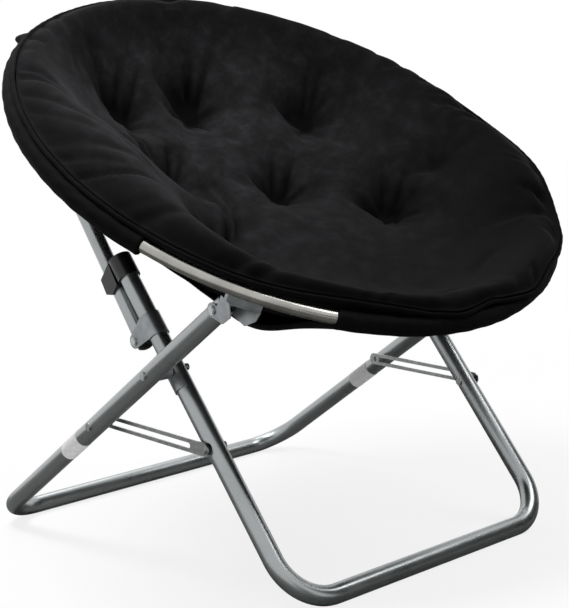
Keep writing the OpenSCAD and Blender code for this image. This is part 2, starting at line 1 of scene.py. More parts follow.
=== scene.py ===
"""Looks of a folding saucer chair: silver powder-coated tube, plated fittings, a woven
sleeve round the seat ring, a nylon hammock and a tufted black microsuede cushion.

Lengths are in metres. Soft pieces are worked out in the seat's own frame: x across the
chair, e up the slope of the seat towards its back, and n square to the seat ring's plane.
"""
import math

import bmesh
import bpy
import numpy as np
from mathutils import Matrix, Vector


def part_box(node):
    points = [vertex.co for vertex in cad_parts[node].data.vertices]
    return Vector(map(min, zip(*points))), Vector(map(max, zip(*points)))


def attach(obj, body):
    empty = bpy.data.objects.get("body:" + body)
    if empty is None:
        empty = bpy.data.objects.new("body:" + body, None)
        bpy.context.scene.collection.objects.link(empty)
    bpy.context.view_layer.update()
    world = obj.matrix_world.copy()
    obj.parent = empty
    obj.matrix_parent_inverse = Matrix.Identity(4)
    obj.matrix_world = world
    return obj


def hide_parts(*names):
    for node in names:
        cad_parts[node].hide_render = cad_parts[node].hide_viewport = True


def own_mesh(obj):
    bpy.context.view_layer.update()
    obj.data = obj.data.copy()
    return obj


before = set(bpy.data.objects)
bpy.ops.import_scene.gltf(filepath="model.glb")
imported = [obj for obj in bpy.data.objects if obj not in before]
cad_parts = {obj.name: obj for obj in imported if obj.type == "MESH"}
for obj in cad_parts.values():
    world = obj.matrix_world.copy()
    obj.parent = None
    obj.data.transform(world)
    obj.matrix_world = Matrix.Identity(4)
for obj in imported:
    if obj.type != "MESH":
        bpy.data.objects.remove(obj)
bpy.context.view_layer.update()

MM = 0.001
TURN = 2 * math.pi
GAP = 0.3 * MM

# The photograph's view
VIEW_AZIMUTH = math.radians(-40.63)
VIEW_ELEVATION = math.radians(9.25)
VIEW_ROLL = math.radians(-3.03)
VIEW_DISTANCE = 1.8243
VIEW_TARGET = Vector((-0.0842, -0.1021, 0.3361))
PHOTO_WIDTH_PX = 569
FOCAL_PX = 1433.86
SENSOR_MM = 36

# The studio: half the floor's side, the distances between which it fades to plain white, the
# share of white near the chair, and the size of its paper's clouds
FLOOR_HALF = 8.0
FADE_FROM = 0.35
FADE_TO = 1.5
FLOOR_WHITE = 0.82
FLOOR_CLOUD = 1 / 3
# Strength of the white surround as a light on matt surfaces
SURROUND_LIGHT = 0.2
# The point that lamps and cards face
AIM_AT = Vector((0, 0, 0.35))
# Lamps, as (name, place, side, watts)
LAMPS = [
    ("key_lamp", (-0.7, 0.3, 2.7), 1.0, 60),
    ("fill_lamp", (1.1, -1.1, 2.4), 1.2, 22),
    ("back_lamp", (0.8, 1.6, 2.4), 1.4, 14),
]
# Cards, as (name, place, side, colour, whether it lies flat)
CARDS = [
    ("right_flag", (1.3, -1.1, 0.6), 1.8, "#101010", False),
    ("front_flag", (-0.5, -2.6, 0.2), 1.1, "#202020", False),
    ("low_flag", (0.1, -0.2, 0.003), 2.4, "#6E6E6C", True),
]

# The seat ring and the cushion's seam, with the tilt and the centre from the frame's piping
RING_R = 372.2 * MM
TUBE_R = 8 * MM
PIPING_R = 3 * MM
SLEEVE_R = TUBE_R + 2.3 * MM
pipe_low, pipe_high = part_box("rim_piping")
pipe_half = (pipe_high - pipe_low) / 2
SEAT_TILT = math.atan2(pipe_half.z - PIPING_R, pipe_half.y - PIPING_R)
PIPING_AT = pipe_half.x - PIPING_R
CUSHION_R = PIPING_AT - PIPING_R - GAP
SEAM_H = math.sqrt((SLEEVE_R + PIPING_R + GAP) ** 2 - (RING_R - PIPING_AT) ** 2)
SLOPE = Vector((0, math.cos(SEAT_TILT), math.sin(SEAT_TILT)))
NORMAL = Vector((0, -math.sin(SEAT_TILT), math.cos(SEAT_TILT)))
SEAT_CENTRE = (pipe_low + pipe_high) / 2 - SEAM_H * NORMAL

# Angles round the ring from its sides to the front and the rear brackets, and how far off a
# bracket the sleeve stops: on a front one's outer and inner side, and at a rear one
FRONT_BRACKET = math.radians(44.4)
REAR_BRACKET = math.radians(52.6)
BARE_SIDE = math.radians(20)
BARE_FRONT = math.radians(16)
BARE_REAR = math.radians(8)

# Hammock: its sag, and the radii to which its cloth is cut back behind the brackets
HAMMOCK_DEPTH = 132 * MM
HAMMOCK_POWER = 3
CLOTH_T = 1.6 * MM
FRONT_CUT = 318 * MM
REAR_CUT = 334 * MM
CUT_POWER = 4
# Slack behind each front bracket and along the front edge, and the tighter stretch beside it,
# as (side, e, width across, width up the slope, how much lower)
BELLIES = [
    (192 * MM, -222 * MM, 58 * MM, 46 * MM, 24 * MM),
    (0, -310 * MM, 110 * MM, 45 * MM, 7 * MM),
    (262 * MM, -118 * MM, 50 * MM, 48 * MM, -7 * MM),
]

# Strips of casing over the brackets: their clearance from the tube, how far they come down on
# the outer and the inner side, and the swelling over the corner of a rear bracket's plate
COVER_GAP = 1.2 * MM
COVER_OUTER = math.radians(40)
COVER_INNER = math.radians(28)
COVER_FRONT = math.radians(6)
CORNER_SWELL = 18 * MM
CORNER_AT = math.radians(-26)
CORNER_WRAP = math.radians(20)
CORNER_WIDTH = 13 * MM

# Cushion
BOWL_DEPTH = 109 * MM
BOWL_POWER = 3
CROWN_H = 10 * MM
CROWN_POWER = 8
CROWN_WIDTH = 70 * MM
# The roll's crest: its height over the ring's plane and its share of the radius at the front
# and back, and how much higher and further in it lies on the sitter's right and left
CREST_H = 22 * MM
CREST_RISE = 9 * MM
CREST_AT = 0.935
CREST_IN = 0.185
LEFT_SHARE = 0.35
BULGE_POWER = 6
# Heights of what lies on the bowl: tufts, valleys between them, wrinkles round them, gathers
# at the rim, lumps and fine unevenness
TUFT_DEPTH = 34 * MM
VALLEY_DEPTH = 9 * MM
WRINKLE_H = 1.6 * MM
GATHER_H = 6.5 * MM
LUMP_H = 3.4 * MM
FINE_H = 0.5 * MM
# Waves of the lumps and of the fine unevenness, with their rates in radians a millimetre
LUMPS = {"seed": 4, "waves": 9, "low": 0.012, "high": 0.04}
FINE = {"seed": 9, "waves": 9, "low": 0.06, "high": 0.16}
# Thickness left under a tuft, and the softness with which the top stays above it
TUFT_FLOOR = 4 * MM
TUFT_SOFT = 3 * MM
# Underside: height over the hammock, the radius at which it leaves it, and the place from
# which it rises to the seam
UNDER_LIFT = 3.6 * MM
UNDER_LEAVES = 320 * MM
UNDER_SIDE_AT = 338 * MM
UNDER_SIDE_N = -12 * MM
UNDER_POWER = 1.5
# Height over the ring's plane that the hammock is given as flat_n
CLOTH_FLAT_N = 2 * MM
# Sewn tufts, as (x, e, share of the full depth)
TUFTS = [
    (63 * MM, 40 * MM, 1.0),
    (21 * MM, 227 * MM, 1.25),
    (194 * MM, 164 * MM, 1.0),
    (194 * MM, -54 * MM, 1.0),
    (-138 * MM, -78 * MM, 0.8),
    (-104 * MM, 76 * MM, 1.0),
    (-112 * MM, 216 * MM, 1.25),
    (270 * MM, -36 * MM, 0.35),
    (272 * MM, -218 * MM, 0.4),
]
# Wrinkles that run out from a tuft, as (how many, turn from tuft to tuft, weight)
TUFT_RAYS = [(7, 1.7, 1.0), (11, 0.9, 0.6)]
# The tufts' creases are drawn in a frame turned by this angle, in which they run upwards
CREASE_TURN = math.radians(-33)
# Direction towards which painted light makes the pad's colour lighter, from up the slope to the
# sitter's right
LIT_SIDE_TURN = math.radians(30)
# Gathers of the cover: how many, and the ranges of their width and slant in degrees, their
# reach as a share of the way from seam to crest, and their depth
GATHERS = 64
GATHER_WIDTH = (0.7, 2.2)
GATHER_SLANT = (35, 75)
GATHER_REACH = (0.6, 1.3)
GATHER_DEPTH = (0.25, 1.0)
# Places where the seam leaves its circle, as (degrees, width in degrees, out, up)
SEAM_BUMPS = [
    (-48, 11, 9 * MM, -2 * MM),
    (-20, 15, 7 * MM, 7 * MM),
    (-72, 8, 6 * MM, -6 * MM),
    (-86, 5, -4 * MM, 3 * MM),
    (-95, 6, 4 * MM, -5 * MM),
    (-116, 14, -7 * MM, 5 * MM),
    (135, 16, 3 * MM, -3 * MM),
]
# Long creases, over the near crest into the bowl, at the back and along the front rim, as
# (x, e) ends, depth and width
CREASES = [
    ((-145 * MM, 166 * MM), (-117 * MM, 88 * MM), 8 * MM, 6 * MM),
    ((-129 * MM, 172 * MM), (-104 * MM, 96 * MM), 7 * MM, 5 * MM),
    ((-58 * MM, 76 * MM), (-128 * MM, -84 * MM), 13 * MM, 6 * MM),
    ((-42 * MM, 72 * MM), (-106 * MM, -78 * MM), 12 * MM, 5 * MM),
    ((-77 * MM, 160 * MM), (-100 * MM, 84 * MM), 9 * MM, 7 * MM),
    ((32 * MM, 285 * MM), (20 * MM, 215 * MM), 12 * MM, 7 * MM),
    ((-150 * MM, 300 * MM), (-128 * MM, 225 * MM), 7 * MM, 9 * MM),
    ((-240 * MM, -60 * MM), (-262 * MM, 60 * MM), 5 * MM, 8 * MM),
    ((-60 * MM, -300 * MM), (60 * MM, -306 * MM), 4 * MM, 7 * MM),
    ((90 * MM, -290 * MM), (190 * MM, -240 * MM), 5 * MM, 8 * MM),
]

# Paper bands on the rear legs: the legs' radius and tilt, and the band's ends along the leg
LEG_R = 12.5 * MM
LEG_TILT = math.radians(32.87)
BAND_FROM = 238 * MM
BAND_TO = 284 * MM
PAPER_T = 0.2 * MM
PAPER_GAP = 0.25 * MM

# Grids of the soft pieces: rings by sides, and steps along and round the casing
PAD_RINGS = 150
PAD_UNDER_RINGS = 30
PAD_SIDES = 440
PIPING_TURNS = 480
PIPING_SIDES = 12
HAMMOCK_RINGS = 60
HAMMOCK_SIDES = 360
SLEEVE_STEP = 2.5 * MM
SLEEVE_SIDES = 28
COVER_STEP = 2.4 * MM
COVER_SIDES = 52
BAND_STEPS = 24
BAND_SIDES = 64
# First seeds of the sleeves' and the covers' unevenness, and its rates along and round them
SLEEVE_SEED = 20
COVER_SEED = 40
CLOTH_RATES = (40, 2.0)


# Helpers: arrays in the seat's frame, meshes from grids, materials from nodes


def bell(off, width):
    """Bell curve of an offset: 1 in its middle, 1 / e at the width."""
    return np.exp(-(off / width) ** 2)


def seat_points(x, e, n):
    """World points of seat coordinates: centre + x across + e up the slope + n off the plane."""
    x, e, n = np.broadcast_arrays(x, e, n)
    axes = np.array([(1, 0, 0), tuple(SLOPE), tuple(NORMAL)])
    return np.stack([x, e, n], axis=-1) @ axes + np.array(SEAT_CENTRE)


def ring_path(angle, radius, n):
    """Points round the seat's axis at a radius and height."""
    return seat_points(radius * np.cos(angle), radius * np.sin(angle), n)


def ring_section(angle, turn, fat):
    """Points round the seat ring's centre line: a section of radius fat at each angle."""
    return ring_path(angle, RING_R + fat * np.cos(turn), fat * np.sin(turn))


def grid_mesh(name, points, round_u=False, round_v=False, poles=False, uv=None, pit_shade=None):
    """Mesh of quads over a grid of points (u, v, 3), closed round u or v where asked, with the
    cloth's own coordinates and a painted shade for its pits and creases where these are given.

    With poles, the first and last row along u each shrink to a single point, and the
    rows between them are joined to it by triangles.
    """
    rows, cols = points.shape[:2]
    u = np.arange(rows if round_u else rows - 1)
    v = np.arange(cols if round_v else cols - 1)
    if poles:
        u = u[1:-1]
    i, j = np.meshgrid(u, v, indexing="ij")
    i2, j2 = (i + 1) % rows, (j + 1) % cols
    quads = np.stack([i * cols + j, i2 * cols + j, i2 * cols + j2, i * cols + j2], -1)
    faces = quads.reshape(-1, 4).tolist()
    vertices = points.reshape(-1, 3)
    if poles:
        j = np.arange(cols)
        j2 = (j + 1) % cols
        last = (rows - 2) * cols
        faces += np.stack([np.zeros_like(j), cols + j, cols + j2], -1).tolist()
        faces += np.stack([last + j, np.full_like(j, last + cols), last + j2], -1).tolist()
    mesh = bpy.data.meshes.new(name)
    mesh.from_pydata(vertices.tolist(), [], faces)
    if uv is not None:
        layer = mesh.uv_layers.new(name="cloth")
        corner = np.empty(len(mesh.loops), dtype=np.int32)
        mesh.loops.foreach_get("vertex_index", corner)
        layer.data.foreach_set("uv", uv.reshape(-1, 2)[corner].astype(np.float32).ravel())
    # Painted shade of the pits, creases and gathers, kept on the points for the material
    if pit_shade is not None:
        pile = mesh.attributes.new("pit_shade", "FLOAT", "POINT")
        pile.data.foreach_set("value", pit_shade.astype(np.float32).ravel())
    mesh.polygons.foreach_set("use_smooth", np.ones(len(mesh.polygons), dtype=bool))
    mesh.update()
    thing = bpy.data.objects.new(name, mesh)
    bpy.context.scene.collection.objects.link(thing)
    if poles:
        clear_loose(mesh)
    return thing


def clear_loose(mesh):
    """Deletes the vertices that no face uses, such as the copies of a pole."""
    shape = bmesh.new()
    shape.from_mesh(mesh)
    bmesh.ops.delete(shape, geom=[v for v in shape.verts if not v.link_faces], context="VERTS")
    shape.to_mesh(mesh)
    shape.free()


def thicken(piece, thickness, offset):
    """Gives a sheet its thickness: on both sides at offset 0, and on its back at -1."""
    shell = piece.modifiers.new("thickness", "SOLIDIFY")
    shell.thickness = thickness
    shell.offset = offset


def linear(code):
    """Linear colour of an sRGB hex code, opaque."""
    parts = [int(code[k:k + 2], 16) / 255 for k in (1, 3, 5)]
    return [c / 12.92 if c <= 0.04045 else ((c + 0.055) / 1.055) ** 2.4 for c in parts] + [1.0]


def node(owner, kind, settings=None, **links):
    """Adds a node to a material or the world, with its settings, and links its inputs.

    A setting is an input's value, by name or number, or a property of the node. A link is
    an input's name, or _0, _1 and so on for its number.
    """
    made = owner.node_tree.nodes.new("ShaderNode" + kind)
    for key, value in (settings or {}).items():
        if isinstance(key, int) or key in made.inputs:
            made.inputs[key].default_value = value
        else:
            setattr(made, key, value)
    for key, source in links.items():
        socket = made.inputs[int(key[1:])] if key[0] == "_" else made.inputs[key]
        owner.node_tree.links.new(source, socket)
    return made


def noise(owner, place, size, detail=2.0, **settings):
    """Noise of 0 to 1 over a place, with features of about the given size."""
    settings = {"Scale": 1 / size, "Detail": detail, **settings}
    return node(owner, "TexNoise", settings, Vector=place).outputs["Fac"]


def spread(owner, source, low, high, start=0.0, end=1.0):
    """A source mapped from start and end to low and high."""
    settings = {"From Min": start, "From Max": end, "To Min": low, "To Max": high}
    return node(owner, "MapRange", settings, Value=source).outputs["Result"]


def combine(owner, operation, first, second):
    """Two sources joined by an operation of the Math node."""
    return node(owner, "Math", {"operation": operation}, _0=first, _1=second).outputs["Value"]


def ramp(owner, source, stops):
    """Colour ramp over a source, with stops of (place, sRGB hex)."""
    made = node(owner, "ValToRGB", {}, Fac=source)
    band = made.color_ramp
    while len(band.elements) < len(stops):
        band.elements.new(0.5)
    for element, (at, code) in zip(band.elements, stops):
        element.position = at
        element.color = linear(code)
    return made.outputs["Color"]


def seen_or_mirrored(owner):
    """1 for what the camera or a gloss surface looks at, and 0 for light on matt surfaces."""
    path = node(owner, "LightPath")
    return combine(owner, "MAXIMUM", path.outputs["Is Camera Ray"],
                   path.outputs["Is Glossy Ray"])


def new_material(name, settings):
    """An empty node material with its Principled shader, set as given, and the Object
    coordinates."""
    material = bpy.data.materials.new(name)
    material.use_nodes = True
    shader = material.node_tree.nodes["Principled BSDF"]
    for key, value in settings.items():
        shader.inputs[key].default_value = value
    place = node(material, "TexCoord").outputs["Object"]
    return material, shader, place


def plug_in(material, shader, tone, rough=None):
    """Links the base colour, and the roughness where there is one."""
    material.node_tree.links.new(tone, shader.inputs["Base Color"])
    if rough is not None:
        material.node_tree.links.new(rough, shader.inputs["Roughness"])


def relief(material, shader, height, depth, strength):
    """Bump from a height of 0 to 1, with its real depth in metres."""
    bump = node(material, "Bump", {"Strength": strength, "Distance": depth}, Height=height)
    material.node_tree.links.new(bump.outputs["Normal"], shader.inputs["Normal"])


# Materials


def powder_coat():
    """Silver powder coat on steel tube: fine flake under a slight orange peel."""
    material, shader, place = new_material("silver_powder_coat", {"Metallic": 0.9})
    flake = noise(material, place, 0.9 * MM)
    cloud = noise(material, place, 60 * MM, detail=3.0)
    both = combine(material, "ADD", flake, cloud)
    plug_in(material, shader, ramp(material, both, [(0.55, "#8F9293"), (1.0, "#A6AAAB")]),
            spread(material, cloud, 0.25, 0.34, start=0.35, end=0.65))
    peel = noise(material, place, 2.2 * MM, detail=1.0)
    relief(material, shader, peel, depth=0.01 * MM, strength=0.12)
    return material


def bare_steel():
    """Drawn ring tube in clear lacquer: brighter and warmer, with a faint grain."""
    material, shader, place = new_material("lacquered_drawn_steel", {"Metallic": 1.0})
    grain = noise(material, place, 1.4 * MM, detail=3.0)
    cloud = noise(material, place, 35 * MM)
    plug_in(material, shader, ramp(material, cloud, [(0.3, "#9C9A96"), (0.7, "#B6B4AF")]),
            spread(material, grain, 0.22, 0.34))
    relief(material, shader, grain, depth=0.005 * MM, strength=0.08)
    return material


def zinc_plate():
    """Bright zinc plate on rivets and link strips, with soft spangle."""
    material, shader, place = new_material("bright_zinc_plate", {"Metallic": 1.0})
    spangle = node(material, "TexVoronoi", {"Scale": 1 / (3 * MM)}, Vector=place)
    tone = ramp(material, spangle.outputs["Color"], [(0.0, "#A8ABAC"), (1.0, "#C9CBCB")])
    rub = noise(material, place, 6 * MM, detail=4.0)
    plug_in(material, shader, tone, spread(material, rub, 0.18, 0.42))
    relief(material, shader, rub, depth=0.02 * MM, strength=0.5)
    return material


def pressed_sheet():
    """Pressed steel sheet under silver powder coat: a little darker and rougher than tube."""
    material, shader, place = new_material("pressed_sheet_powder_coat", {"Metallic": 0.8})
    cloud = noise(material, place, 14 * MM, detail=4.0)
    plug_in(material, shader, ramp(material, cloud, [(0.35, "#8D9093"), (0.7, "#A3A7A9")]),
            spread(material, cloud, 0.28, 0.42))
    peel = noise(material, place, 2.0 * MM, detail=1.0)
    relief(material, shader, peel, depth=0.03 * MM, strength=0.5)
    return material


def moulded_plastic():
    """Injection-moulded black polypropylene: satin, with a fine spark-eroded grain."""
    material, shader, place = new_material("moulded_black_polypropylene",
                                           {"Roughness": 0.34, "IOR": 1.49})
    grain = noise(material, place, 0.8 * MM)
    plug_in(material, shader, ramp(material, grain, [(0.3, "#0B0B0C"), (0.8, "#17171A")]))
    relief(material, shader, grain, depth=0.03 * MM, strength=0.4)
    return material


def microsuede():
    """Brushed black microsuede: dark body, soft sheen, and patches where the nap lies over. Light
    and shade are painted into its colour: lighter towards the seat's back on the sitter's right
    and darker away from it, darker over the rim, and darker in the tufts' pits, the creases and
    the gathers."""
    material, shader, place = new_material("black_microsuede", {
        "Specular IOR Level": 0.04, "Sheen Weight": 0.05, "Sheen Roughness": 0.45,
        "Sheen Tint": linear("#9A9AA0")})
    nap = noise(material, place, 26 * MM, detail=6.0, Roughness=0.68, Distortion=0.2)
    pile = noise(material, place, 1.6 * MM, detail=3.0)
    tone = ramp(material, nap, [(0.34, "#0F0F0F"), (0.5, "#151516"), (0.68, "#1E1E20")])
    inward = node(material, "VectorMath", {"operation": "SUBTRACT", 1: tuple(SEAT_CENTRE)},
                  _0=place).outputs["Vector"]
    # Painted light and shade: the colour is lighter towards the seat's back on the sitter's right
    # and darker away from it
    light_side = (SLOPE * math.cos(LIT_SIDE_TURN) - Vector((math.sin(LIT_SIDE_TURN), 0, 0))) / CUSHION_R
    slant = node(material, "VectorMath", {"operation": "DOT_PRODUCT", 1: tuple(light_side)},
                 _0=inward).outputs["Value"]
    painted_side_light = spread(material, slant, 0.3, 2.4, start=-0.8, end=0.9)
    # Painted shade: the colour darkens over the pad's outer rim
    away = node(material, "VectorMath", {"operation": "LENGTH"}, _0=inward).outputs["Value"]
    rim = spread(material, away, 1.0, 0.35, start=0.8 * CUSHION_R, end=0.96 * CUSHION_R)
    # Painted shade from a point attribute of the mesh: darker in the tufts' pits, the creases and
    # the gathers
    pit_shade_fac = node(material, "Attribute", {"attribute_name": "pit_shade"}).outputs["Fac"]
    unshaded_share = spread(material, pit_shade_fac, 1.0, 0.05)
    share = combine(material, "MULTIPLY", painted_side_light, rim)
    share = combine(material, "MULTIPLY", share, unshaded_share)
    tone = node(material, "VectorMath", {"operation": "SCALE"}, Vector=tone,
                Scale=share).outputs["Vector"]
    plug_in(material, shader, tone, spread(material, nap, 0.78, 0.95))
    relief(material, shader, combine(material, "ADD", nap, pile), depth=0.5 * MM, strength=0.35)
    return material


def woven_band():
    """Coarse black polyester canvas: a plain weave drawn at 2.4 mm a thread so that it shows."""
    material, shader, place = new_material("woven_black_canvas",
                                           {"Roughness": 0.8, "Specular IOR Level": 0.06})
    cloth = node(material, "UVMap").outputs["UV"]
    thread = 2.4 * MM
    split = node(material, "SeparateXYZ", {}, Vector=cloth)
    waves = []
    for axis in ("X", "Y"):
        phase = node(material, "Math", {"operation": "MULTIPLY", 1: math.pi / thread},
                     _0=split.outputs[axis])
        wave = node(material, "Math", {"operation": "SINE"}, _0=phase.outputs["Value"])
        hump = node(material, "Math", {"operation": "ABSOLUTE"}, _0=wave.outputs["Value"])
        waves.append(hump.outputs["Value"])
    weave = combine(material, "MULTIPLY", waves[0], waves[1])
    both = combine(material, "MULTIPLY", weave, noise(material, place, 9 * MM, detail=3.0))
    plug_in(material, shader, ramp(material, both, [(0.0, "#020202"), (0.55, "#101011")]))
    relief(material, shader, both, depth=0.5 * MM, strength=0.8)
    return material


def nylon():
    """Smooth black nylon taffeta of the hammock: a fine weave, dull, with cloudy patches of
    painted shade for faint folds.
    """
    material, shader, place = new_material("black_nylon_taffeta", {"Specular IOR Level": 0.08})
    weave = noise(material, place, 1.5 * MM)
    # Painted shade: cloudy darker patches that stand in for faint folds
    fold_shade = noise(material, place, 90 * MM, detail=3.0)
    plug_in(material, shader, ramp(material, fold_shade, [(0.3, "#020202"), (0.8, "#050505")]),
            spread(material, fold_shade, 0.65, 0.8))
    relief(material, shader, weave, depth=0.15 * MM, strength=0.4)
    return material


def label_paper():
    """Plain white coated paper, wrapped round the tube and left blank."""
    material, shader, place = new_material("blank_white_label", {"Roughness": 0.55})
    fibre = noise(material, place, 5 * MM, detail=4.0)
    plug_in(material, shader, ramp(material, fibre, [(0.3, "#DADBDA"), (0.7, "#EDEDEC")]))
    relief(material, shader, fibre, depth=0.05 * MM, strength=0.3)
    return material


# Shapes of the soft pieces


def hammock_n(r):
    """Underside of the hammock: -(tube radius) - depth * (1 - (r / rim) ^ power)."""
    rim = RING_R - TUBE_R
    return -TUBE_R - HAMMOCK_DEPTH * (1 - np.clip(r / rim, 0, 1) ** HAMMOCK_POWER)


def hammock_belly(x, e):
    """How much lower the slack cloth hangs, the same on both sides: bell curves of BELLIES."""
    lower = np.zeros_like(x)
    for side, up, across, along, depth in BELLIES:
        lower += depth * bell(np.abs(x) - side, across) * bell(e - up, along)
    return lower


def soft_noise(a, b, seed, waves=7, low=1.0, high=3.0):
    """Smooth noise about 0: a few sine waves in random directions over the plane (a, b), with
    rates from low to high."""
    random = np.random.default_rng(seed)
    total = np.zeros_like(a)
    for _ in range(waves):
        angle = random.uniform(0, TURN)
        rate = random.uniform(low, high)
        shift = random.uniform(0, TURN)
        total = total + np.sin(rate * (a * np.cos(angle) + b * np.sin(angle)) + shift)
    return total / math.sqrt(waves)


def cloth_waver(a, t, seed):
    """Unevenness of the casing at an angle a round the seat and t round the tube, about 0."""
    along, round_tube = CLOTH_RATES
    return soft_noise(a * along, t * round_tube, seed)


def tuft_fields(x, e):
    """Pull towards the tufts, up to each one's share, the wrinkles round them, and the nearest
    one's distance. The pull is a sharp dimple within a wide one. The wrinkles are rays on a
    ring round it."""
    sharp_share, sharp_width, wide_width = 0.55, 17 * MM, 50 * MM
    wrinkle_at, wrinkle_width = 26 * MM, 20 * MM
    pull = np.zeros_like(x)
    wrinkle = np.zeros_like(x)
    nearest = np.full_like(x, math.inf)
    for k, (tx, te, share) in enumerate(TUFTS):
        away = np.hypot(x - tx, e - te)
        angle = np.arctan2(e - te, x - tx)
        sharp = sharp_share * np.exp(-away / sharp_width)
        wide = (1 - sharp_share) * bell(away, wide_width)
        pull = np.maximum(pull, share * (sharp + wide))
        rays = sum(weight * np.sin(count * angle + turn * k) for count, turn, weight in TUFT_RAYS)
        wrinkle += share * rays * bell(away - wrinkle_at, wrinkle_width)
        nearest = np.minimum(nearest, away)
    return pull, wrinkle, nearest


def valley_field(x, e):
    """Soft valleys along the straight lines between neighbouring tufts, shallowest halfway, and
    up to the lesser share of the two at their ends."""
    reach, width = 235 * MM, 17 * MM
    halfway_share, power = 0.35, 1.5
    valley = np.zeros_like(x)
    for k, (ax, ae, share_a) in enumerate(TUFTS):
        for bx, be, share_b in TUFTS[k + 1:]:
            length = math.hypot(bx - ax, be - ae)
            if length > reach:
                continue
            t = np.clip(((x - ax) * (bx - ax) + (e - ae) * (be - ae)) / length ** 2, 0, 1)
            away = np.hypot(x - ax - t * (bx - ax), e - ae - t * (be - ae))
            sag = halfway_share + (1 - halfway_share) * np.abs(2 * t - 1) ** power
            valley = np.maximum(valley, min(share_a, share_b) * sag * bell(away, width))
    return valley


def seam_shift(angle):
    """How far the seam leaves its circle at each angle, out and up: a sum of bell curves, kept
    as far from the ring's centre line as the sleeve and the piping need."""
    out, up = np.zeros_like(angle), np.zeros_like(angle)
    for middle, width, push, lift in SEAM_BUMPS:
        off = (np.degrees(angle) - middle + 180) % 360 - 180
        out += push * bell(off, width)
        up += lift * bell(off, width)
    across, above = PIPING_AT - RING_R + out, SEAM_H + up
    room = SLEEVE_R + PIPING_R + 2 * GAP
    grow = np.maximum(1, room / np.hypot(across, above))
    return across * grow + RING_R - PIPING_AT, above * grow - SEAM_H


def crest_place(angle):
    """Where the roll's crest lies round the seat, as a share of the radius, and its bulge: the
    sixth power of the angle's cosine, whole on the sitter's right and a share on the left."""
    side = np.cos(angle)
    bulge = side ** BULGE_POWER * np.where(side < 0, 1, LEFT_SHARE)
    return CREST_AT - CREST_IN * bulge, bulge


def gather_field(angle, u, crest):
    """Gathers of the cover between the seam and the crest of the roll: narrow valleys, each
    slanted as it runs in, of uneven depth, width and reach. u is the share of the radius."""
    seed, ease, fade_power = 12, 0.02, 0.5
    random = np.random.default_rng(seed)
    folds = np.zeros_like(angle)
    for _ in range(GATHERS):
        middle = random.uniform(0, TURN)
        width = math.radians(random.uniform(*GATHER_WIDTH))
        slant = math.radians(random.uniform(*GATHER_SLANT))
        reach = random.uniform(*GATHER_REACH) * (1 - crest)
        depth = random.uniform(*GATHER_DEPTH)
        away = (angle - middle - slant * (1 - u) + math.pi) % TURN - math.pi
        along = np.clip(1 - (1 - u) / reach, 0, 1) * np.clip((1 - u) / ease, 0, 1)
        folds -= depth * bell(away, width) * along ** fade_power
    return folds


def tuft_creases(x, e):
    """Creases that each tuft throws: a pit at the tuft, a shelf through it, steep in front and
    easy behind, that runs out to the sitter's right, and a fork of two valleys that part as
    they run up from it, with a fold between."""
    pit_depth, pit_width = 9 * MM, 10 * MM
    shelf_depth, shelf_at, shelf_run = 9 * MM, -24 * MM, 30 * MM
    shelf_steep, shelf_easy = 5 * MM, 20 * MM
    fork_depth, fork_width, fork_at, fork_run = 7 * MM, 5 * MM, 30 * MM, 32 * MM
    fork_gap, fork_spread, fork_sway = 5 * MM, 0.13, 3 * MM
    fold_height, fold_width = 3 * MM, 6 * MM
    crease = np.zeros_like(x)
    for k, (tx, te, share) in enumerate(TUFTS):
        across = (x - tx) * math.cos(CREASE_TURN) + (e - te) * math.sin(CREASE_TURN)
        above = (e - te) * math.cos(CREASE_TURN) - (x - tx) * math.sin(CREASE_TURN)
        crease -= share * pit_depth * bell(np.hypot(across, above), pit_width)
        width = np.where(above < 0, shelf_steep, shelf_easy)
        crease -= share * shelf_depth * bell(across - shelf_at, shelf_run) * bell(above, width)
        run = share * bell(above - fork_at, fork_run)
        for side in (-1, 1):
            lean = side * (fork_gap + fork_spread * above) + fork_sway * math.sin(2 * k + side)
            crease -= fork_depth * run * bell(across - lean, fork_width)
        crease += fold_height * run * bell(across, fold_width)
    return crease


def crease_field(x, e):
    """Valleys along the slightly bowed lines of CREASES, deepest in their middle."""
    bow = 0.06
    field = np.zeros_like(x)
    for (ax, ae), (bx, be), depth, width in CREASES:
        length = math.hypot(bx - ax, be - ae)
        t = ((x - ax) * (bx - ax) + (e - ae) * (be - ae)) / length ** 2
        away = ((x - ax) * (be - ae) - (e - ae) * (bx - ax)) / length
        away += bow * length * np.sin(math.pi * np.clip(t, 0, 1))
        run = np.maximum(1 - (2 * t - 1) ** 2, 0)
        field -= depth * run * bell(away, width)
    return field


def cushion_under(x, e):
    """Underside: on the hammock out to a radius, over its tighter stretches, then up past the
    brackets to the seam."""
    r = np.hypot(x, e)
    tight = np.maximum(-hammock_belly(x, e), 0)
    low = hammock_n(np.minimum(r, UNDER_LEAVES)) + UNDER_LIFT + tight
    k = np.clip((r - UNDER_LEAVES) / (UNDER_SIDE_AT - UNDER_LEAVES), 0, 1)
    u = np.clip((r - UNDER_SIDE_AT) / (CUSHION_R - UNDER_SIDE_AT), 0, 1)
    return low + (UNDER_SIDE_N - low) * k + (SEAM_H - UNDER_SIDE_N) * u ** UNDER_POWER


def painted_pit_shade(pull, creases, gathers):
    """Painted shade, 0 to 1: darker by the tufts, the creases and the gathers, where shade falls.
    """
    tuft_weight, tuft_power = 1.1, 1.4
    full_crease, most_by_crease = 22 * MM, 0.6
    gather_weight = 0.45
    by_crease = np.clip(-creases / full_crease, 0, most_by_crease)
    return np.clip(tuft_weight * pull ** tuft_power + by_crease - gather_weight * gathers, 0, 1)


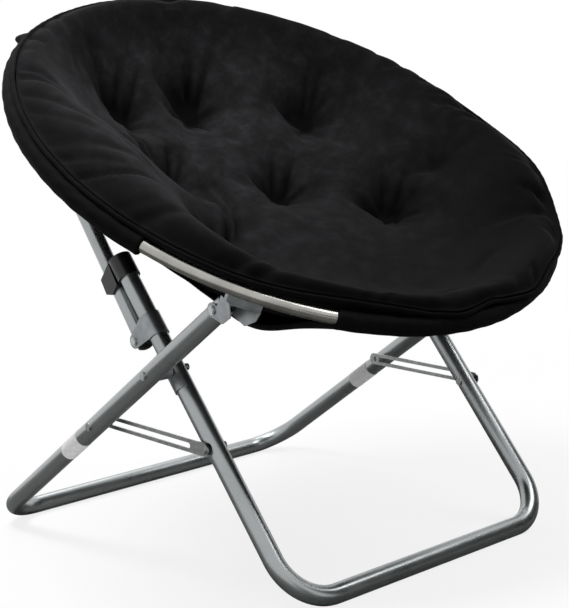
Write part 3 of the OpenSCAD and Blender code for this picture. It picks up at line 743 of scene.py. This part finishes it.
def cushion_top(x, e):
    """Top of the cushion: a bowl with a padded roll inside the rim, crowned between the tufts.

    The bowl is -depth * (1 - u ^ power). The roll is height * sin(pi * u ^ place), where place
    puts the sine's top at the crest. Tufts, the valleys between them, gathers, creases and
    soft noise join them, and fade towards the seam. Returns the height and the painted shade
    of the pits, creases and gathers, 0 to 1.
    """
    tuft_fade = 0.3
    r = np.hypot(x, e)
    u = np.clip(r / CUSHION_R, 0, 1)
    angle = np.arctan2(e, x)
    crest, bulge = crest_place(angle)
    place = math.log(0.5) / np.log(crest)
    foot = SEAM_H - BOWL_DEPTH * (1 - crest ** BOWL_POWER) + CROWN_H * (1 - crest ** CROWN_POWER)
    roll = (CREST_H + CREST_RISE * bulge - foot) * np.sin(math.pi * u ** place)
    bowl = SEAM_H - BOWL_DEPTH * (1 - u ** BOWL_POWER) + roll
    pull, wrinkle, nearest = tuft_fields(x, e)
    inside = 1 - u ** CROWN_POWER
    crown = CROWN_H * (1 - bell(nearest, CROWN_WIDTH))
    gathers = gather_field(angle, u, crest)
    lumps = soft_noise(x / MM, e / MM, **LUMPS)
    fine = soft_noise(x / MM, e / MM, **FINE)
    creases = tuft_creases(x, e) + crease_field(x, e)
    top = (bowl - TUFT_DEPTH * pull * inside ** tuft_fade + GATHER_H * gathers
           + inside * (crown - VALLEY_DEPTH * valley_field(x, e) + WRINKLE_H * wrinkle
                       + creases + LUMP_H * lumps + FINE_H * fine))
    lowest = cushion_under(x, e) + TUFT_FLOOR
    top = lowest + TUFT_SOFT * np.logaddexp(0, (top - lowest) / TUFT_SOFT)
    return top, painted_pit_shade(pull, creases, gathers)


def pad_face(r, a, n, near_power):
    """World points of one face of the pad, drawn towards the wandering seam near its edge: the
    higher the power, the nearer."""
    out, up = seam_shift(a)
    near_seam = np.clip(r / CUSHION_R, 0, 1) ** near_power
    return ring_path(a, r + out * near_seam, n + up * near_seam)


def make_cushion():
    """A closed pad: its profile runs from the top's middle over the roll and the seam to the
    middle of the underside, and is carried round the seat's axis."""
    top_power, under_power, top_crowding = 14, 160, 0.9
    sides = np.linspace(0, TURN, PAD_SIDES, endpoint=False)
    quarter = math.pi / 2 * np.linspace(0, 1, PAD_RINGS)
    r, a = np.meshgrid(CUSHION_R * np.sin(quarter) ** top_crowding, sides, indexing="ij")
    # The top's second array is its painted shade in the pits, creases and gathers
    n, pit_shade = cushion_top(r * np.cos(a), r * np.sin(a))
    top = pad_face(r, a, n, top_power)
    quarter = math.pi / 2 * np.linspace(1, 0, PAD_UNDER_RINGS)[1:]
    r, a = np.meshgrid(CUSHION_R * np.sin(quarter), sides, indexing="ij")
    under = pad_face(r, a, cushion_under(r * np.cos(a), r * np.sin(a)), under_power)
    return grid_mesh("tufted_cushion", np.concatenate([top, under]), round_v=True, poles=True,
                     pit_shade=np.concatenate([pit_shade, np.zeros_like(r)]))


def make_piping():
    """The cord in the rim seam: a circle carried round the seam, with a slight waver."""
    waver_depth, waver_rates, waver_shift = 0.2 * MM, (53, 31), 1
    fat_share, stitch_share, stitches = 0.9, 0.06, 140
    a, t = np.meshgrid(np.linspace(0, TURN, PIPING_TURNS, endpoint=False),
                       np.linspace(0, TURN, PIPING_SIDES, endpoint=False), indexing="ij")
    out, up = seam_shift(a)
    waver = waver_depth * (np.sin(waver_rates[0] * a) + np.sin(waver_rates[1] * a + waver_shift))
    fat = PIPING_R * (fat_share + stitch_share * np.sin(stitches * a))
    points = ring_path(a, PIPING_AT + out + waver + fat * np.cos(t), SEAM_H + up + fat * np.sin(t))
    return grid_mesh("seam_piping", points, round_u=True, round_v=True)


def sleeve_arcs():
    """First and last angle of each stretch of sleeve: all but the ring at the brackets."""
    return [
        (-FRONT_BRACKET + BARE_SIDE, REAR_BRACKET - BARE_REAR),
        (REAR_BRACKET + BARE_REAR, math.pi - REAR_BRACKET - BARE_REAR),
        (math.pi - REAR_BRACKET + BARE_REAR, math.pi + FRONT_BRACKET - BARE_SIDE),
        (math.pi + FRONT_BRACKET + BARE_FRONT, TURN - FRONT_BRACKET - BARE_FRONT),
    ]


def fin_n(t):
    """The casing's sewn fin: a narrow swelling of its section, low on the outer side."""
    height, low, width = 3.5 * MM, math.radians(-70), math.radians(24)
    off = (t - low + math.pi) % TURN - math.pi
    return height * bell(off, width)


def make_covers():
    """Strips of the casing over the rear brackets and the left front one: the upper part of the
    sleeve's section, from the outer side over the tube to its inner side, open below for the
    bracket. A rear one swells over the corner of its bracket's plate."""
    waver_depth = 0.25 * MM
    right_rear = math.pi - REAR_BRACKET
    strips = [
        (REAR_BRACKET - BARE_REAR, REAR_BRACKET + BARE_REAR, COVER_OUTER, COVER_INNER,
         CORNER_SWELL),
        (right_rear - BARE_REAR, right_rear + BARE_REAR, COVER_OUTER, COVER_INNER, CORNER_SWELL),
        (-FRONT_BRACKET - BARE_FRONT, -FRONT_BRACKET + BARE_SIDE, COVER_FRONT, COVER_FRONT, 0),
    ]
    covers = []
    for k, (first, last, outer, inner, swell) in enumerate(strips):
        along = np.linspace(first, last, int((last - first) * RING_R / COVER_STEP))
        wrap = np.linspace(-outer, math.pi + inner, COVER_SIDES)
        a, t = np.meshgrid(along, wrap, indexing="ij")
        off = (a - (first + last) / 2) * RING_R
        corner = bell(off, CORNER_WIDTH) * bell(t - CORNER_AT, CORNER_WRAP)
        fat = TUBE_R + COVER_GAP + waver_depth * cloth_waver(a, t, COVER_SEED + k) + swell * corner
        cover = grid_mesh(f"bracket_cover_{k + 1}", ring_section(a, t, fat),
                          uv=np.stack([a * RING_R, t * SLEEVE_R], -1))
        thicken(cover, CLOTH_T, 0)
        covers.append(cover)
    return covers


def make_sleeves():
    """Canvas round the ring: a wavering circle carried along each stretch of ring, with both
    ends turned in to the tube as a hem, and a bead beside each hem."""
    waver_depth = 0.35 * MM
    hem_width, hem_power, hem_share = 1.2 * MM, 0.5, 0.25
    bead_height, bead_at, bead_width = 0.5 * MM, 4 * MM, 1.6 * MM
    lining, inside = TUBE_R + GAP, TUBE_R + GAP / 2
    sleeves = []
    for k, (first, last) in enumerate(sleeve_arcs()):
        along = np.linspace(first, last, int((last - first) * RING_R / SLEEVE_STEP))
        a, t = np.meshgrid(along, np.linspace(0, TURN, SLEEVE_SIDES, endpoint=False),
                           indexing="ij")
        fat = SLEEVE_R + waver_depth * cloth_waver(a, t, SLEEVE_SEED + k)
        end = np.minimum(a - first, last - a) * RING_R
        hem = hem_share + (1 - hem_share) * np.clip(end / hem_width, 0, 1) ** hem_power
        fat = lining + (fat - lining) * hem
        fat = fat + bead_height * bell(end - bead_at, bead_width) + fin_n(t)
        uv = np.stack([a * RING_R, t * SLEEVE_R], -1)
        points = np.concatenate([ring_section(a[:1], t[:1], inside), ring_section(a, t, fat),
                                 ring_section(a[-1:], t[-1:], inside)])
        sleeves.append(grid_mesh(f"ring_sleeve_{k + 1}", points, round_v=True,
                                 uv=np.concatenate([uv[:1], uv, uv[-1:]])))
    return sleeves


def cut_radius(angle):
    """How far out the hammock's cloth reaches at an angle: up to the sleeve, but short of the
    ring behind each bracket, with a curved cut edge."""
    full = RING_R - TUBE_R
    reach = np.full_like(angle, full)
    cuts = [(math.pi + FRONT_BRACKET, BARE_SIDE, BARE_FRONT, FRONT_CUT),
            (TURN - FRONT_BRACKET, BARE_FRONT, BARE_SIDE, FRONT_CUT),
            (REAR_BRACKET, BARE_REAR, BARE_REAR, REAR_CUT),
            (math.pi - REAR_BRACKET, BARE_REAR, BARE_REAR, REAR_CUT)]
    for middle, before, after, inner in cuts:
        off = (angle - middle + math.pi) % TURN - math.pi
        side = np.where(off < 0, before, after)
        k = np.clip(1 - (np.abs(off) / side) ** CUT_POWER, 0, 1)
        reach = np.minimum(reach, full - (full - inner) * k)
    return reach


def make_hammock():
    """The cloth bowl, and its area: a profile of the sag carried round the seat's axis as far
    as the cut edge, pulled into faint folds that run in from the sleeves."""
    innermost = 0.004
    fold_depth, fold_count, fold_wander, fold_from, fold_power = 0.5 * MM, 46, (2, 7), 0.55, 2
    k, a = np.meshgrid(np.linspace(innermost, 1, HAMMOCK_RINGS),
                       np.linspace(0, TURN, HAMMOCK_SIDES, endpoint=False), indexing="ij")
    r = k * cut_radius(a)
    folds = np.sin(fold_count * a + fold_wander[0] * np.sin(fold_wander[1] * a))
    folds = folds * np.clip((k - fold_from) / (1 - fold_from), 0, 1) ** fold_power
    x, e = r * np.cos(a), r * np.sin(a)
    n = hammock_n(r) + CLOTH_T / 2 + fold_depth * folds - hammock_belly(x, e)
    grid = seat_points(x, e, n)
    bowl = grid_mesh("hammock_bowl", grid, round_v=True, uv=np.stack([x, e], -1))
    thicken(bowl, CLOTH_T, 0)
    side_a = np.roll(grid, -1, axis=1)[:-1] - grid[:-1]
    side_b = grid[1:] - grid[:-1]
    area = float(np.linalg.norm(np.cross(side_a, side_b), axis=-1).sum())
    return bowl, area


def make_labels():
    """Blank paper bands round the rear legs: thin tubes along the legs' own direction."""
    low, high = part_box("rear_frame")
    along = np.array((0, -math.cos(LEG_TILT), math.sin(LEG_TILT)))
    side = np.array((1.0, 0, 0))
    lift = np.cross(side, along)
    s, t = np.meshgrid(np.linspace(BAND_FROM, BAND_TO, BAND_STEPS),
                       np.linspace(0, TURN, BAND_SIDES, endpoint=False), indexing="ij")
    ring = np.cos(t)[..., None] * side + np.sin(t)[..., None] * lift
    band = s[..., None] * along + (LEG_R + PAPER_GAP) * ring
    labels = []
    for name, x in (("right_leg_label", low.x + LEG_R), ("left_leg_label", high.x - LEG_R)):
        foot = np.array((x, high.y - LEG_R, LEG_R))
        label = grid_mesh(name, foot + band, round_v=True)
        thicken(label, PAPER_T, -1)
        labels.append(label)
    return labels


# The scene


def dress_frame():
    """Gives each carried-over node its finish."""
    coat, steel, zinc, sheet, plastic = (powder_coat(), bare_steel(), zinc_plate(),
                                         pressed_sheet(), moulded_plastic())
    finishes = {
        coat: ["rear_frame", "front_frame", "left_strut", "right_strut"],
        steel: ["seat_ring_front", "seat_ring_rear"],
        zinc: ["cross_rivets", "link_screws", "seat_rivets", "link_rivets", "strut_rivets",
               "rear_bracket_rivets", "left_link", "right_link"],
        sheet: ["cross_spacers", "pivot_saddles", "strut_clamps", "left_front_bracket",
                "right_front_bracket", "left_rear_bracket", "right_rear_bracket"],
        plastic: ["link_washers", "left_leg_cap", "right_leg_cap", "left_strut_plug",
                  "right_strut_plug"],
    }
    for material, names in finishes.items():
        for name in names:
            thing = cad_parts[name]
            thing.data.materials.clear()
            thing.data.materials.append(material)


def place_soft(piece, material, flat_n=None):
    """A soft piece gets its material and rides on the seat. Where flat_n is given, it gets a mesh
    of its own; the height's value is not used."""
    piece.data.materials.append(material)
    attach(piece, "seat")
    if flat_n is not None:
        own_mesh(piece)


def dress_seat():
    """The cushion with its piping, the hammock and its casing round the ring."""
    plush, canvas, cloth = microsuede(), woven_band(), nylon()
    pad = make_cushion()
    place_soft(pad, plush, flat_n=SEAM_H)
    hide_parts("cushion")
    piping = make_piping()
    place_soft(piping, plush)
    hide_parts("rim_piping")
    bowl, area = make_hammock()
    place_soft(bowl, cloth, flat_n=CLOTH_FLAT_N)
    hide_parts("hammock")
    sleeves = make_sleeves() + make_covers()
    for sleeve in sleeves:
        place_soft(sleeve, canvas)


def dress_legs():
    """The blank paper bands on the rear legs."""
    paper = label_paper()
    for label in make_labels():
        label.data.materials.append(paper)
        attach(label, "rear_legs")


def make_camera():
    """Camera at the photograph's azimuth, elevation and roll about the target."""
    forward = Vector((-math.sin(VIEW_AZIMUTH) * math.cos(VIEW_ELEVATION),
                      math.cos(VIEW_AZIMUTH) * math.cos(VIEW_ELEVATION),
                      -math.sin(VIEW_ELEVATION)))
    level = Vector((math.cos(VIEW_AZIMUTH), math.sin(VIEW_AZIMUTH), 0))
    upright = level.cross(forward)
    right = level * math.cos(VIEW_ROLL) + upright * math.sin(VIEW_ROLL)
    up = right.cross(forward)
    lens = bpy.data.cameras.new("photo_view")
    lens.sensor_fit = "HORIZONTAL"
    lens.sensor_width = SENSOR_MM
    lens.lens = SENSOR_MM * FOCAL_PX / PHOTO_WIDTH_PX
    camera = bpy.data.objects.new("photo_view", lens)
    turn = Matrix((right, up, -forward)).transposed().to_4x4()
    camera.matrix_world = Matrix.Translation(VIEW_TARGET - VIEW_DISTANCE * forward) @ turn
    bpy.context.scene.collection.objects.link(camera)
    bpy.context.scene.camera = camera


def facing(place, aim):
    """The pose of a thing at a place that faces along aim."""
    return Matrix.Translation(place) @ aim.to_track_quat("-Z", "Y").to_matrix().to_4x4()


def area_light(name, place, size, power):
    """A soft square lamp that faces the chair."""
    lamp = bpy.data.lights.new(name, "AREA")
    lamp.size = size
    lamp.energy = power
    holder = bpy.data.objects.new(name, lamp)
    holder.matrix_world = facing(place, AIM_AT - Vector(place))
    bpy.context.scene.collection.objects.link(holder)


def square(name, half):
    """A flat square of one face about the origin."""
    return grid_mesh(name, np.array([[(x, y, 0.0) for y in (-half, half)] for x in (-half, half)]))


def flag_card(name, place, size, tone, flat):
    """A card beside the set that only gloss surfaces see: it gives the tubes their dark edge.
    It faces the chair, or lies flat."""
    card = square(name, size / 2)
    card.matrix_world = facing(place, Vector((0, 0, -1)) if flat else AIM_AT - Vector(place))
    card.visible_camera = False
    card.visible_diffuse = False
    card.visible_shadow = False
    felt, _, _ = new_material(name, {"Base Color": linear(tone), "Roughness": 0.95})
    card.data.materials.append(felt)


def make_floor():
    """Pale paper. Near the chair the camera sees its own shading lifted by a share of white, so
    the shadow stays; further out this fades to plain white, as on a photographer's sweep."""
    floor = square("studio_floor", FLOOR_HALF)
    if floor.data.polygons[0].normal.z < 0:
        floor.data.flip_normals()
    paper, shader, place = new_material("pale_floor_paper",
                                        {"Roughness": 0.9, "Specular IOR Level": 0.0})
    cloud = noise(paper, place, FLOOR_CLOUD)
    plug_in(paper, shader, ramp(paper, cloud, [(0.0, "#EFEFEF"), (1.0, "#F4F4F4")]))
    reach = node(paper, "VectorMath", {"operation": "LENGTH"}, _0=place).outputs["Value"]
    fade = spread(paper, reach, FLOOR_WHITE, 1.0, start=FADE_FROM, end=FADE_TO)
    share = combine(paper, "MULTIPLY", seen_or_mirrored(paper), fade)
    white = node(paper, "Emission", {"Strength": 1.0})
    mixed = node(paper, "MixShader", {}, Fac=share, _1=shader.outputs["BSDF"],
                 _2=white.outputs["Emission"])
    surface = paper.node_tree.nodes["Material Output"].inputs["Surface"]
    paper.node_tree.links.new(mixed.outputs["Shader"], surface)
    floor.data.materials.append(paper)


def make_surround():
    """A surround that is white where the camera or a gloss surface looks, and a weak light."""
    world = bpy.data.worlds.new("studio")
    world.use_nodes = True
    bpy.context.scene.world = world
    back = world.node_tree.nodes["Background"]
    back.inputs["Color"].default_value = (1, 1, 1, 1)
    level = spread(world, seen_or_mirrored(world), SURROUND_LIGHT, 1.0)
    world.node_tree.links.new(level, back.inputs["Strength"])


def make_studio():
    """Floor, surround, lamps and cards."""
    make_floor()
    make_surround()
    for lamp in LAMPS:
        area_light(*lamp)
    for card in CARDS:
        flag_card(*card)


bpy.context.scene.view_settings.view_transform = "Standard"
make_camera()
make_studio()
dress_frame()
dress_seat()
dress_legs()
